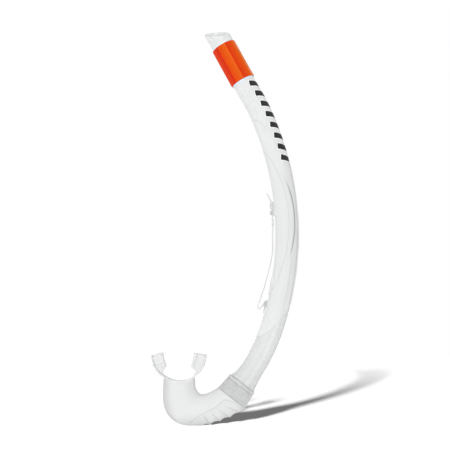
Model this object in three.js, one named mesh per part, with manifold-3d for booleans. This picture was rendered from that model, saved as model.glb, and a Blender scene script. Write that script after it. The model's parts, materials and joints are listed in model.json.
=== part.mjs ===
// Snorkel tube: a bent breathing tube with a hi-vis sleeve, a strap clip on a moulded carrier,
// a swivelling collar, a soft elbow and a mouthpiece.
//
// Millimetres, +Z up. The bend of the tube lies in the XZ plane: the mouthpiece is on the -X side
// and the tube bows out to +X. Parts of the tube are drawn straight, with z as the distance along
// the tube's centreline, and are then bent onto it.
import * as THREE from 'three';
import { mergeVertices } from 'three/addons/utils/BufferGeometryUtils.js';
import Module from 'manifold-3d';

const wasm = await Module();
wasm.setup();

const DEGREE = Math.PI / 180;
const ROUND_SEGMENTS = 24;
const GAP = 0.3; // clearance between neighbouring pieces

// Centreline of the tube: where it starts, how far it leans there, and its straight and round runs.
// A negative lean points to +X, a positive one to -X.
const FOOT = { x: 6.7, z: 28.1, lean: -37.4 };
const RUNS = [
  { length: 22.5, turn: 0 },
  { length: 187 * 19 * DEGREE, turn: 19 },
  { length: 321 * 46.5 * DEGREE, turn: 46.5 },
  { length: 110, turn: 0 },
];
const RUN_ENDS = RUNS.map((_, i) => RUNS.slice(0, i + 1).reduce((sum, run) => sum + run.length, 0));

// Tube, and its open end, which is cut on a slant: it rises to the far side (slope) and to +X (tilt)
const TUBE = { radius: 12.05, bore: 10.25, foot: 19.2 };
const MOUTH = { at: 421.5, z: 420.2, slope: 0.5, tilt: 0.11 };
const SOCKET = { bore: 12.0, end: 27, flare: 2.9, flareEnd: 38, flarePower: 2.2 };

// Rings near the top of the tube
const SLEEVE = { start: 360.5, end: 405, inner: 12.9, outer: 13.9 };
const TAPE = { overhang: 1.5, inner: 12.25, outer: 12.65 };

// Carrier moulded round the middle of the tube, and its two oblique ends
const CARRIER = { inner: 12.25, outer: 12.65 };
const CARRIER_TOP = { middle: 288.5, swing: 29, sharpness: 35 };
const CARRIER_BOTTOM = { lowest: 69, rise: 44, power: 1.5 };
const LATCH = { start: 206.5, end: 221, outer: 13.9, halfWidth: 5 };
const STRAP_LAND = { middle: 128, length: 18, outer: 13.3, halfWidth: 4 };
const FIN = { start: 150, end: 225, height: 0.5, sink: 0.2, blunt: 0.05, halfWidth: 1 };
const STUD = { at: 209.3, stem: 1.6, head: 2.6, seat: 13.3, recess: 13.1, underside: 15.8, top: 17.8 };

// Strap clip
const CLIP = { thickness: 1.0, halfWidth: 5.5, hinge: { x: 36.2, z: 120.4 }, hingeGap: 0.6 };
const CLIP_FOOT = { start: 97, end: 114, inner: 12.95, outer: 14.0 };
const STUD_HOLE = { halfLength: 4.0, radius: 3.1, depth: 8, offset: 15.5 };
const THUMB_PAD = { start: 213.8, end: 221, inner: 14.6, outer: 16.6, halfWidth: 4.5 };
const GRIP_RIBS = { at: [196, 202.8], inner: 14.7, outer: 15.8, halfLength: 0.6, inset: 1 };

// Swivel joint at the foot of the tube, as distances along its axis from the collar's lower face
const SPIGOT = { bore: 9.4, radius: 11.6, bottom: 0.6, top: 26.4, bead: 12.6 };
const SEAL = { groove: 10.5, inner: 10.8, outer: 11.75, from: 22.4, to: 24.6 };
const COLLAR = { bore: 14.3, lower: 17.5, upper: 15.65, height: 18.8 };
const CUFF_SLEEVE = { bore: 12.0, radius: 13.9, top: 18.4, groove: 13.0, webBottom: -2.2, web: 16.0 };

// Elbow
const ELBOW_WALL = 2.0;
const FLEX = { x: -6, z: 21.6, radius: 18.2, clearance: 0.5, lean: 108.6 };

// Mouthpiece
const NECK = { x: -47.6, halfWidth: 16.4, halfDepth: 12.5 };
const FLANGE = { thickness: 1.6, halfLength: 31, halfDepth: 13.8, offCentre: 0.6, steps: 26 };
const STUB = { bottom: 40, top: 56, sink: 0.4, wall: 1.8, fit: 0.4 };
const LUG = { halfThickness: 2.2, beadHalfThickness: 3.2 };

// ---------------------------------------------------------------- helpers

function asSolid(geometry) {
  const bare = geometry.clone();
  bare.deleteAttribute('normal');
  bare.deleteAttribute('uv');
  const welded = mergeVertices(bare, 1e-4);
  return new wasm.Manifold(
    new wasm.Mesh({
      numProp: 3,
      vertProperties: new Float32Array(welded.attributes.position.array),
      triVerts: new Uint32Array(welded.index.array),
    }),
  );
}

function asGeometry(solid) {
  const mesh = solid.getMesh();
  const geometry = new THREE.BufferGeometry();
  geometry.setAttribute('position', new THREE.BufferAttribute(new Float32Array(mesh.vertProperties), 3));
  geometry.setIndex(new THREE.BufferAttribute(new Uint32Array(mesh.triVerts), 1));
  geometry.computeVertexNormals();
  return geometry;
}

function join(...geometries) {
  return asGeometry(geometries.map(asSolid).reduce((whole, next) => whole.add(next)));
}

function cut(geometry, ...cutters) {
  return asGeometry(cutters.map(asSolid).reduce((rest, next) => rest.subtract(next), asSolid(geometry)));
}

function common(a, b) {
  return asGeometry(asSolid(a).intersect(asSolid(b)));
}

// Turns every face outwards, whichever way round the shape was drawn.
function facingOut(geometry) {
  const indexed = geometry.index ? geometry : mergeVertices(geometry);
  const p = indexed.attributes.position;
  const corners = indexed.index.array;
  const [a, b, c] = [new THREE.Vector3(), new THREE.Vector3(), new THREE.Vector3()];
  let volume = 0;
  for (let i = 0; i < corners.length; i += 3) {
    a.fromBufferAttribute(p, corners[i]);
    b.fromBufferAttribute(p, corners[i + 1]);
    c.fromBufferAttribute(p, corners[i + 2]);
    volume += a.dot(b.cross(c));
  }
  if (volume < 0) {
    for (let i = 0; i < corners.length; i += 3) {
      [corners[i + 1], corners[i + 2]] = [corners[i + 2], corners[i + 1]];
    }
  }
  return indexed;
}

// Point, tangent and sideways direction of the tube's centreline at a distance along it.
function centreline(distance) {
  let { x, z, lean } = FOOT;
  let left = distance;
  for (const [index, run] of RUNS.entries()) {
    const last = index === RUNS.length - 1;
    const step = last || left < 0 ? left : Math.min(left, run.length);
    const turn = (run.turn * step) / run.length;
    const middle = (lean + turn / 2) * DEGREE;
    const half = (turn / 2) * DEGREE;
    const chord = Math.abs(half) < 1e-9 ? step : (step * Math.sin(half)) / half;
    x -= chord * Math.sin(middle);
    z += chord * Math.cos(middle);
    lean += turn;
    left -= step;
    if (Math.abs(left) < 1e-9) {
      break;
    }
  }
  const angle = lean * DEGREE;
  return {
    point: new THREE.Vector3(x, 0, z),
    along: new THREE.Vector3(-Math.sin(angle), 0, Math.cos(angle)),
    side: new THREE.Vector3(Math.cos(angle), 0, Math.sin(angle)),
    lean: angle,
  };
}

// Bends a straight shape onto the centreline: its z becomes distance along, its x sideways.
function bend(geometry) {
  const p = geometry.attributes.position;
  for (let i = 0; i < p.count; i++) {
    const { point, side } = centreline(p.getZ(i));
    p.setXYZ(i, point.x + side.x * p.getX(i), p.getY(i), point.z + side.z * p.getX(i));
  }
  return geometry;
}

// Places a straight shape, drawn round z = 0, on the centreline without bending it.
function placeAt(geometry, distance) {
  const { point, lean } = centreline(distance);
  return geometry.rotateY(-lean).translate(point.x, point.y, point.z);
}

// A ring of revolution about Z from a closed outline of [radius, height] points.
function ring(outline, segments = ROUND_SEGMENTS) {
  const points = [...outline, outline[0]].map(([r, z]) => new THREE.Vector2(r, z));
  return facingOut(new THREE.LatheGeometry(points, segments).rotateX(Math.PI / 2));
}

// Heights from a to b in steps of about the given length.
function stations(a, b, step) {
  const count = Math.max(1, Math.round((b - a) / step));
  return Array.from({ length: count + 1 }, (_, i) => a + ((b - a) * i) / count);
}

// A box given by its ranges in x, y and z, with stations along z so that it can be bent.
function block(x, y, z, step = 1e3) {
  const sections = Math.max(1, Math.round((z[1] - z[0]) / step));
  const box = new THREE.BoxGeometry(x[1] - x[0], y[1] - y[0], z[1] - z[0], 1, 1, sections);
  return box.translate((x[0] + x[1]) / 2, (y[0] + y[1]) / 2, (z[0] + z[1]) / 2);
}

// An outline in the XZ plane, as [x, z] points, thickened along Y on both sides of the plane.
function plate(outline, halfWidth) {
  const shape = new THREE.Shape(outline.map(([x, z]) => new THREE.Vector2(x, z)));
  const solid = new THREE.ExtrudeGeometry(shape, { depth: 2 * halfWidth, bevelEnabled: false });
  return facingOut(solid.rotateX(Math.PI / 2).translate(0, halfWidth, 0));
}

// A smooth path through [x, z] points, moved sideways: a positive offset is to its right.
function offsetPath(path, offset, steps) {
  const knots = path.map(([x, z]) => new THREE.Vector3(x, 0, z));
  const curve = new THREE.CatmullRomCurve3(knots, false, 'centripetal');
  return stations(0, 1, 1 / steps).map((t) => {
    const at = curve.getPoint(t);
    const along = curve.getTangent(t);
    return [at.x + along.z * offset, at.z - along.x * offset];
  });
}

// Outline of a strip of even thickness along a smooth path.
function strip(path, thickness, steps) {
  return [...offsetPath(path, thickness / 2, steps), ...offsetPath(path, -thickness / 2, steps).reverse()];
}

function piece(name, geometry, colour, roughness, metalness = 0) {
  const mesh = new THREE.Mesh(geometry, new THREE.MeshStandardMaterial({ color: colour, roughness, metalness }));
  mesh.name = name;
  return mesh;
}

// ---------------------------------------------------------------- tube and its rings

function barrelTube() {
  const beyondMouth = 440;
  const [, tightEnd, gentleEnd] = RUN_ENDS;
  const outerHeights = [
    ...stations(TUBE.foot, SOCKET.flareEnd, 3.1),
    ...stations(SOCKET.flareEnd, tightEnd, 9).slice(1),
    ...stations(tightEnd, gentleEnd, 13).slice(1),
    beyondMouth,
  ];
  const flareLength = SOCKET.flareEnd - TUBE.foot;
  const flare = (z) => SOCKET.flare * Math.max(0, (SOCKET.flareEnd - z) / flareLength) ** SOCKET.flarePower;
  const outer = outerHeights.map((z) => [TUBE.radius + flare(z), z]);
  const inner = outerHeights.filter((z) => z > SOCKET.end + 1).map((z) => [TUBE.bore, z]);
  const socket = [[SOCKET.bore, TUBE.foot], [SOCKET.bore, SOCKET.end], [TUBE.bore, SOCKET.end + 0.6]];
  const straight = ring([...outer, ...inner.reverse(), ...socket.reverse()]);
  return cut(bend(straight), aboveMouth());
}

// Everything above the slanted mouth of the tube.
function aboveMouth() {
  const reach = 60;
  const slab = block([-reach, reach], [-reach, reach], [0, reach]);
  const axis = centreline(MOUTH.at).point;
  return slab.rotateX(Math.atan(MOUTH.slope)).rotateY(-Math.atan(MOUTH.tilt)).translate(axis.x, 0, MOUTH.z);
}

function hiVisSleeve() {
  const { start, end, inner, outer } = SLEEVE;
  return bend(ring([[inner, start], [outer, start], [outer, end], [inner, end]]));
}

function reflectiveTape() {
  const { inner, outer, overhang } = TAPE;
  const start = SLEEVE.start - overhang;
  const end = SLEEVE.end + overhang;
  return bend(ring([[inner, start], [outer, start], [outer, end], [inner, end]]));
}

// ---------------------------------------------------------------- carrier

// The carrier's ends are oblique: both are functions of the angle round the tube, 0 on the +X side.
function carrierTop(angle) {
  const { middle, swing, sharpness } = CARRIER_TOP;
  return middle + swing * Math.tanh((Math.abs(angle) - 90) / sharpness);
}

function carrierBottom(angle) {
  const { lowest, rise, power } = CARRIER_BOTTOM;
  return lowest + rise * ((1 + Math.cos(angle * DEGREE)) / 2) ** power;
}

// The carrier before it is bored out: a rod with oblique ends.
function carrierRod() {
  const levels = stations(0, 1, 1 / 16);
  const side = levels.map((level) => new THREE.Vector2(CARRIER.outer, level));
  const outline = [new THREE.Vector2(0, 0), ...side, new THREE.Vector2(0, 1)];
  const rod = facingOut(new THREE.LatheGeometry(outline, ROUND_SEGMENTS).rotateX(Math.PI / 2));
  const p = rod.attributes.position;
  for (let i = 0; i < p.count; i++) {
    const onAxis = Math.hypot(p.getX(i), p.getY(i)) < 0.01;
    const angle = onAxis ? 90 : Math.atan2(p.getY(i), p.getX(i)) / DEGREE;
    p.setZ(i, THREE.MathUtils.lerp(carrierBottom(angle), carrierTop(angle), p.getZ(i)));
  }
  return bend(rod);
}

function carrierBore() {
  const heights = stations(50, 340, 13);
  const side = heights.map((z) => new THREE.Vector2(CARRIER.inner, z));
  const outline = [new THREE.Vector2(0, heights[0]), ...side, new THREE.Vector2(0, heights.at(-1))];
  return bend(facingOut(new THREE.LatheGeometry(outline, ROUND_SEGMENTS).rotateX(Math.PI / 2)));
}

// A low fin that swells along the outside of the carrier.
function carrierFin() {
  const heights = stations(FIN.start, FIN.end, 12);
  const root = CARRIER.outer - FIN.sink;
  const crest = heights.map((z) => {
    const along = (z - FIN.start) / (FIN.end - FIN.start);
    return [root + FIN.blunt + (FIN.height + FIN.sink) * Math.sin(Math.PI * along) ** 0.7, z];
  });
  return bend(plate([...crest, ...heights.reverse().map((z) => [root, z])], FIN.halfWidth));
}

function carrierSheath() {
  const sink = 2; // how far the raised seats reach in, to be bored out with the rod
  const root = -CARRIER.inner + sink;
  const latch = bend(
    block([-LATCH.outer, root], [-LATCH.halfWidth, LATCH.halfWidth], [LATCH.start, LATCH.end], 5),
  );
  const half = STRAP_LAND.length / 2;
  const land = placeAt(
    block([-STRAP_LAND.outer, root], [-STRAP_LAND.halfWidth, STRAP_LAND.halfWidth], [-half, half]),
    STRAP_LAND.middle,
  );
  const depth = 4;
  const drill = new THREE.CylinderGeometry(STUD.stem + GAP, STUD.stem + GAP, depth, 16).rotateZ(Math.PI / 2);
  const studSeat = placeAt(drill.translate(-STUD.recess - depth / 2, 0, 0), STUD.at);
  return cut(join(carrierRod(), carrierFin(), latch, land), carrierBore(), studSeat);
}

function snapStud() {
  const outline = [
    [0, STUD.seat],
    [STUD.stem, STUD.seat],
    [STUD.stem, STUD.underside],
    [STUD.head, STUD.underside + 0.3],
    [STUD.head, STUD.underside + 0.9],
    [STUD.head * 0.7, STUD.top - 0.25],
    [0, STUD.top],
  ].map(([r, z]) => new THREE.Vector2(r, z));
  const stud = facingOut(new THREE.LatheGeometry(outline, 16).rotateX(Math.PI / 2));
  return placeAt(stud.rotateY(-Math.PI / 2), STUD.at);
}

// ---------------------------------------------------------------- strap clip

// A point beside the tube, from its distance along the tube and its sideways offset.
function beside(distance, offset) {
  const { point, side } = centreline(distance);
  return [point.x + side.x * offset, point.z + side.z * offset];
}

function clipBlade() {
  const path = [
    [44.2, 243.7],
    [46.4, 240.6],
    [48.0, 237.2],
    beside(221, -14.85),
    beside(209, -14.85),
    beside(196, -14.6),
    beside(184, -15.1),
    [50.6, 180.6],
    [48.2, 167.8],
    [44.9, 155.1],
    [41.2, 142.4],
    [36.9, 129.8],
    [34.6, 123.4],
    [34.7, 121.3],
    [CLIP.hinge.x - CLIP.hingeGap, CLIP.hinge.z + 0.2],
  ];
  const blade = plate(strip(path, CLIP.thickness, 44), CLIP.halfWidth);
  const { inner, outer, halfLength, inset } = GRIP_RIBS;
  const ribHalfWidth = CLIP.halfWidth - inset;
  const ribs = GRIP_RIBS.at.map((at) =>
    bend(block([-outer, -inner], [-ribHalfWidth, ribHalfWidth], [at - halfLength, at + halfLength])),
  );
  const pad = bend(
    block(
      [-THUMB_PAD.outer, -THUMB_PAD.inner],
      [-THUMB_PAD.halfWidth, THUMB_PAD.halfWidth],
      [THUMB_PAD.start, THUMB_PAD.end],
    ),
  );
  const hole = new THREE.CylinderGeometry(STUD_HOLE.radius, STUD_HOLE.radius, STUD_HOLE.depth, 16);
  hole.rotateZ(Math.PI / 2).scale(1, 1, STUD_HOLE.halfLength / STUD_HOLE.radius);
  hole.translate(-STUD_HOLE.offset, 0, 0);
  return cut(join(blade, pad, ...ribs), placeAt(hole, STUD.at));
}

// The fixed leg of the clip: from the hairpin up to a foot that lies on the carrier.
function clipFoot() {
  const path = [
    [CLIP.hinge.x + CLIP.hingeGap, CLIP.hinge.z + 0.25],
    [38.4, 122.4],
    [40.7, 126.2],
    beside(110.5, -13.5),
  ];
  const leg = plate(strip(path, CLIP.thickness, 14), CLIP.halfWidth);
  const { start, end, inner, outer } = CLIP_FOOT;
  const pad = bend(block([-outer, -inner], [-CLIP.halfWidth, CLIP.halfWidth], [start, end], 6));
  return join(leg, pad);
}

// ---------------------------------------------------------------- swivel joint

function connectorSpigot() {
  const { bore, radius, bottom, top, bead } = SPIGOT;
  return bend(
    ring([
      [bore, bottom],
      [radius, bottom],
      [bead, bottom + 1.2],
      [bead, bottom + 2.6],
      [radius, bottom + 3.4],
      [radius, SEAL.from],
      [SEAL.groove, SEAL.from],
      [SEAL.groove, SEAL.to],
      [radius, SEAL.to],
      [radius, top],
      [bore, top],
    ]),
  );
}

function sealRing() {
  const [from, to] = [SEAL.from + 0.25, SEAL.to - 0.25];
  return bend(ring([[SEAL.inner, from], [SEAL.outer, from], [SEAL.outer, to], [SEAL.inner, to]]));
}

function connectorCollar() {
  const { bore, lower, upper, height } = COLLAR;
  return bend(ring([[bore, 0.3], [lower, 0.3], [upper, height], [bore, height]]));
}

// ---------------------------------------------------------------- elbow

// Sections of the elbow from the collar to the neck: the [x, z] points where its outer and inner
// sides meet the plane of the bend, and its half depth across that plane.
const ELBOW_SECTIONS = [
  { outer: [20.6, 17.5], inner: [-7.2, 38.7], depth: 17.4 },
  { outer: [10.5, 11.6], inner: [-9.6, 37.2], depth: 17.0 },
  { outer: [-1.0, 6.9], inner: [-12.8, 35.4], depth: 16.5 },
  { outer: [-12.5, 2.9], inner: [-16.4, 33.6], depth: 16.0 },
  { outer: [-25.0, 0.5], inner: [-20.4, 32.3], depth: 15.5 },
  { outer: [-37.0, 0.1], inner: [-23.6, 31.9], depth: 15.1 },
  { outer: [-48.5, 2.3], inner: [-25.6, 32.2], depth: 14.6 },
  { outer: [-58.4, 10.0], inner: [-27.2, 33.2], depth: 14.1 },
  { outer: [-63.4, 20.5], inner: [-28.7, 35.2], depth: 13.5 },
  { outer: [-64.4, 31.5], inner: [-30.4, 38.6], depth: 13.0 },
  { outer: [-64.1, 44.5], inner: [-31.2, 44.5], depth: NECK.halfDepth },
  { outer: [-64.0, 58.0], inner: [-31.2, 58.0], depth: NECK.halfDepth },
];

// A tube through the elbow's sections, drawn as a unit ring and moved out to each section.
function elbowShell() {
  const last = ELBOW_SECTIONS.length - 1;
  const sides = ['outer', 'inner'].map(
    (side) =>
      new THREE.CatmullRomCurve3(
        ELBOW_SECTIONS.map((section) => new THREE.Vector3(section[side][0], 0, section[side][1])),
      ),
  );
  const levels = stations(0, 1, 1 / (2 * last));
  const wallOut = levels.map((z) => [2, z]);
  const wallIn = levels.map((z) => [1, z]);
  const shell = ring([...wallOut, ...wallIn.reverse()]);
  const p = shell.attributes.position;
  for (let i = 0; i < p.count; i++) {
    const level = THREE.MathUtils.clamp(p.getZ(i), 0, 1);
    const radius = Math.hypot(p.getX(i), p.getY(i));
    const inset = radius > 1.5 ? 0 : ELBOW_WALL;
    const [outer, inner] = sides.map((curve) => curve.getPoint(level));
    const slot = Math.min(level * last, last - 1e-6);
    const k = Math.floor(slot);
    const depth = THREE.MathUtils.lerp(ELBOW_SECTIONS[k].depth, ELBOW_SECTIONS[k + 1].depth, slot - k);
    const middle = outer.clone().add(inner).multiplyScalar(0.5);
    const across = outer.clone().sub(inner);
    const halfWidth = across.length() / 2 - inset;
    across.normalize().multiplyScalar((halfWidth * p.getX(i)) / radius);
    p.setXYZ(i, middle.x + across.x, ((depth - inset) * p.getY(i)) / radius, middle.z + across.z);
  }
  return facingOut(shell);
}

// Region on the collar's side of the flex joint: a round nose about the joint's axis.
function collarSide(radius) {
  const reach = 60;
  const nose = new THREE.CylinderGeometry(radius, radius, reach, 40);
  const rest = block([-reach, reach], [-reach / 2, reach / 2], [-reach, 0]);
  rest.rotateY(-FLEX.lean * DEGREE);
  return join(nose, rest).translate(FLEX.x, 0, FLEX.z);
}

function elbowCuff() {
  const { bore, radius, top, groove, webBottom, web } = CUFF_SLEEVE;
  const sleeve = bend(
    ring([
      [bore, webBottom],
      [web, webBottom],
      [web, -0.2],
      [radius, -0.2],
      [radius, top],
      [bore, top],
      [bore, 5.4],
      [groove, 4.6],
      [groove, 1.2],
      [bore, 0.2],
    ]),
  );
  return common(join(elbowShell(), sleeve), collarSide(FLEX.radius));
}

function elbowBend() {
  return cut(elbowShell(), collarSide(FLEX.radius + FLEX.clearance), aboveFlange(GAP));
}

// ---------------------------------------------------------------- mouthpiece

// Middle of the flange's thickness, from its left tip round to its right tip.
const FLANGE_PATH = [
  [-76.6, 71.9],
  [-72.4, 59.0],
  [-64.9, 51.1],
  [-56.4, 46.6],
  [-48.4, 45.1],
  [-39.8, 46.2],
  [-32.3, 50.0],
  [-25.2, 56.5],
  [-21.2, 65.1],
  [-19.9, 72.9],
];

function aboveFlange(gap) {
  const [left, right, top, halfDepth] = [-100, 10, 90, 30];
  const underside = offsetPath(FLANGE_PATH, FLANGE.thickness / 2 + gap, FLANGE.steps);
  return plate([...underside, [right, top], [left, top]], halfDepth);
}

// An oval column about the middle of the neck.
function neckOval(halfWidth, halfDepth, bottom, top) {
  const oval = new THREE.CylinderGeometry(1, 1, top - bottom, ROUND_SEGMENTS);
  return oval.rotateX(Math.PI / 2).scale(halfWidth, halfDepth, 1).translate(NECK.x, 0, (top + bottom) / 2);
}

// Outline of the flange seen along Z, a squarish oval.
function flangeOutline() {
  const shape = new THREE.Shape();
  const steps = 36;
  for (let i = 0; i < steps; i++) {
    const angle = (2 * Math.PI * i) / steps;
    const squarish = (value) => Math.sign(value) * Math.abs(value) ** (2 / 3);
    const x = NECK.x - FLANGE.offCentre + FLANGE.halfLength * squarish(Math.cos(angle));
    const y = FLANGE.halfDepth * squarish(Math.sin(angle));
    shape[i === 0 ? 'moveTo' : 'lineTo'](x, y);
  }
  return facingOut(new THREE.ExtrudeGeometry(shape, { depth: 60, bevelEnabled: false }).translate(0, 0, 30));
}

function biteLugs() {
  const left = [
    [-76.2, 71.0],
    [-70.0, 72.4],
    [-64.8, 75.0],
    [-61.0, 60.0],
    [-64.7, 55.9],
    [-65.0, 51.4],
    [-72.2, 59.4],
  ];
  const right = [
    [-32.4, 74.5],
    [-26.1, 73.9],
    [-20.0, 72.6],
    [-21.3, 65.0],
    [-25.3, 56.6],
    [-31.6, 50.8],
    [-31.3, 55.9],
    [-35.5, 60.0],
  ];
  const leftBead = [[-66.6, 74.1], [-64.8, 75.0], [-61.0, 60.0], [-63.0, 59.6]];
  const rightBead = [[-32.4, 74.5], [-30.6, 74.3], [-33.5, 59.6], [-35.5, 60.0]];
  return [
    plate(left, LUG.halfThickness),
    plate(right, LUG.halfThickness),
    plate(leftBead, LUG.beadHalfThickness),
    plate(rightBead, LUG.beadHalfThickness),
  ];
}

function mouthpiece() {
  const flange = common(plate(strip(FLANGE_PATH, FLANGE.thickness, FLANGE.steps), 20), flangeOutline());
  const outerWidth = NECK.halfWidth - ELBOW_WALL - STUB.fit;
  const outerDepth = NECK.halfDepth - ELBOW_WALL - STUB.fit;
  const stub = cut(neckOval(outerWidth, outerDepth, STUB.bottom, STUB.top), aboveFlange(-STUB.sink));
  const airway = neckOval(outerWidth - STUB.wall, outerDepth - STUB.wall, STUB.bottom - 5, STUB.top + 14);
  return join(cut(join(flange, stub), airway), ...biteLugs());
}

// ---------------------------------------------------------------- assembly

const MILKY = '#ebeded';
const GREY = '#c9cccc';
const ORANGE = '#ea5a12';

const snorkel = new THREE.Group();
snorkel.add(
  piece('barrel_tube', barrelTube(), MILKY, 0.25),
  piece('hi_vis_sleeve', hiVisSleeve(), ORANGE, 0.4),
  piece('reflective_tape', reflectiveTape(), '#dceff8', 0.3, 0.2),
  piece('carrier_sheath', carrierSheath(), MILKY, 0.3),
  piece('snap_stud', snapStud(), GREY, 0.35),
  piece('clip_blade', clipBlade(), MILKY, 0.3),
  piece('clip_foot', clipFoot(), MILKY, 0.3),
  piece('connector_spigot', connectorSpigot(), GREY, 0.4),
  piece('seal_ring', sealRing(), '#303234', 0.7),
  piece('connector_collar', connectorCollar(), GREY, 0.45),
  piece('elbow_cuff', elbowCuff(), MILKY, 0.5),
  piece('elbow_bend', elbowBend(), MILKY, 0.5),
  piece('mouthpiece', mouthpiece(), MILKY, 0.5),
);

// The row's origin is the middle of the underside of the whole object's box.
const box = new THREE.Box3().setFromObject(snorkel, true);
snorkel.position.set(-(box.min.x + box.max.x) / 2, 0, -box.min.z);

export default snorkel;
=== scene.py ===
"""Looks of the snorkel tube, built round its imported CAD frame.

Shapes are drawn in millimetres, in the coordinates of the CAD drawing, and placed() turns them into
metres in the row frame. Shapes on the tube are drawn straight, as an angle round the tube, a radius
and a distance along its centreline, and are bent onto that centreline. An angle of 0 faces the
outside of the bend (+X), 180 the inside, and -90 the near side (-Y).
"""

import json
import math

import bmesh
import bpy
import numpy as np
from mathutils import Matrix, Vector


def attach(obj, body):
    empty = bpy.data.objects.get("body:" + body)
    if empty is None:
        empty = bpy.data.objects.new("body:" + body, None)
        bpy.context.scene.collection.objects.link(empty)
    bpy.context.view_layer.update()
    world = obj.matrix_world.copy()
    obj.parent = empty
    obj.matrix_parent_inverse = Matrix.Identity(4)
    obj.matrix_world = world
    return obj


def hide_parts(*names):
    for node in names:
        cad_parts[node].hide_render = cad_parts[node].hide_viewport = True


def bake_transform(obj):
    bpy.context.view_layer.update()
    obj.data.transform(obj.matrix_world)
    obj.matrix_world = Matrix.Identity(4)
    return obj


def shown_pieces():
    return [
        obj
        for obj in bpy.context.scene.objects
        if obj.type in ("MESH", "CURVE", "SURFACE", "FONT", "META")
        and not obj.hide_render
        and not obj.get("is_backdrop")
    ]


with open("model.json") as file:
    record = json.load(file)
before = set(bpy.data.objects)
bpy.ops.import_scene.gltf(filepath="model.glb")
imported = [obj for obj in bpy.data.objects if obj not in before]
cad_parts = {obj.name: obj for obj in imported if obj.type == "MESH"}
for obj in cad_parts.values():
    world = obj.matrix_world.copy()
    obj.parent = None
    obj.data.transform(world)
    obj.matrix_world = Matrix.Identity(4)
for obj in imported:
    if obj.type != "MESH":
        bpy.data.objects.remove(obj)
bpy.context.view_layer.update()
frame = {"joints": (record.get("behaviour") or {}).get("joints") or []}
JOINTS = {joint["name"]: joint for joint in frame["joints"]}

# Centreline of the tube: its foot, how far it leans there, and its straight and round runs
FOOT_X, FOOT_Z, FOOT_LEAN = 6.7, 28.1, -37.4
RUNS = [
    (22.5, 0.0),
    (187 * math.radians(19), 19.0),
    (321 * math.radians(46.5), 46.5),
    (110.0, 0.0),
]
SHIFT = np.array(JOINTS["elbow_swivel"]["pos_m"]) - np.array([FOOT_X, 0, FOOT_Z]) * 0.001

# Tube
TUBE_RADIUS, TUBE_BORE, TUBE_FOOT = 11.85, 10.25, 19.2
SOCKET_BORE, SOCKET_END = 12.0, 27.0
FLARE, FLARE_END, FLARE_POWER = 2.9, 38.0, 2.2
MOUTH_Z, MOUTH_SLOPE, MOUTH_TILT, MOUTH_AT, STRAIGHT_FROM = 420.2, 0.503, 0.11, 421.5, 400.0

# Sleeve and tape
SLEEVE_START, SLEEVE_END, SLEEVE_RADIUS = 360.5, 405.0, 13.95
FACETS, FIRST_FACET_ANGLE = 8, -175
TAPE_OVERHANG, TAPE_RADIUS = 1.5, 12.6

# Printed row of plain bars, from the top down
BAR_COUNT, FIRST_BAR, BAR_PITCH = 8, 351.0, 12.35
BAR_HALF_LENGTH, BAR_HALF_WIDTH, BAR_CORNER = 7.4, 3.1, 0.9
BAR_ANGLE, BAR_SLANT = -41.0, 16

# Carrier, and its two flat seats inside the bend as middle, half length, distance out, half width
CARRIER_INNER, CARRIER_OUTER, CARRIER_EDGE_ANGLE = 11.95, 12.3, 31
LATCH_SEAT = (213.7, 7.3, 14.1, 5.0)
STRAP_LAND = (128.0, 9.0, 13.33, 4.0)

# Elbow
ELBOW_OUTER = [
    (20.6, 17.5), (10.5, 11.6), (-1.0, 6.9), (-12.5, 2.9), (-25.0, 0.5), (-37.0, 0.1),
    (-48.5, 2.3), (-58.4, 10.0), (-63.4, 20.5), (-64.4, 31.5), (-64.1, 44.5), (-64.0, 58.0),
]
ELBOW_INNER = [
    (-7.2, 38.7), (-9.6, 37.2), (-12.8, 35.4), (-16.4, 33.6), (-20.4, 32.3), (-23.6, 31.9),
    (-25.6, 32.2), (-27.2, 33.2), (-28.7, 35.2), (-30.4, 38.6), (-31.2, 44.5), (-31.2, 58.0),
]
ELBOW_DEPTH = [17.4, 17.0, 16.5, 16.0, 15.5, 15.1, 14.6, 14.1, 13.5, 13.0, 12.5, 12.5]
ELBOW_WALL = 2.0

# Mouthpiece
NECK_X = -47.6
FLANGE_PATH = [
    (-76.6, 71.9), (-72.4, 59.0), (-64.9, 51.1), (-56.4, 46.6), (-48.4, 45.1), (-39.8, 46.2),
    (-32.3, 50.0), (-25.2, 56.5), (-21.2, 65.1), (-19.9, 72.9),
]
FLANGE_HALF, FLANGE_DEPTH = 0.8, 13.8

# Strap clip, and the stud that its hole snaps over
HINGE_X, HINGE_Z = 36.2, 120.4
STUD_AT, BLADE_OFFSET = 209.3, -14.85
HOLE_HALF_WIDTH, HOLE_HALF_LENGTH, HOLE_CUT_DEPTH = 3.0, 3.9, 3


# ---------------------------------------------------------------- drawing helpers


def placed(points):
    """Millimetres of the CAD drawing to metres in the row frame."""
    return np.asarray(points, float) * 0.001 + SHIFT


def centreline(distance):
    """X, Z and lean of the tube's centreline at distances along it."""
    distance = np.asarray(distance, float)
    x = np.full(distance.shape, FOOT_X)
    z = np.full(distance.shape, FOOT_Z)
    lean = np.full(distance.shape, math.radians(FOOT_LEAN))
    left = distance.copy()
    for index, (length, turn) in enumerate(RUNS):
        last = index == len(RUNS) - 1
        step = np.where((left < 0) | last, left, np.minimum(left, length))
        angle = math.radians(turn) * step / length
        chord = step * np.sinc(angle / 2 / math.pi)
        x = x - chord * np.sin(lean + angle / 2)
        z = z + chord * np.cos(lean + angle / 2)
        lean = lean + angle
        left = left - step
    drift = 0.35 * smoothstep(60, 100, distance) - 1.3 * smoothstep(318, 372, distance)
    return x + drift, z, lean


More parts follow.
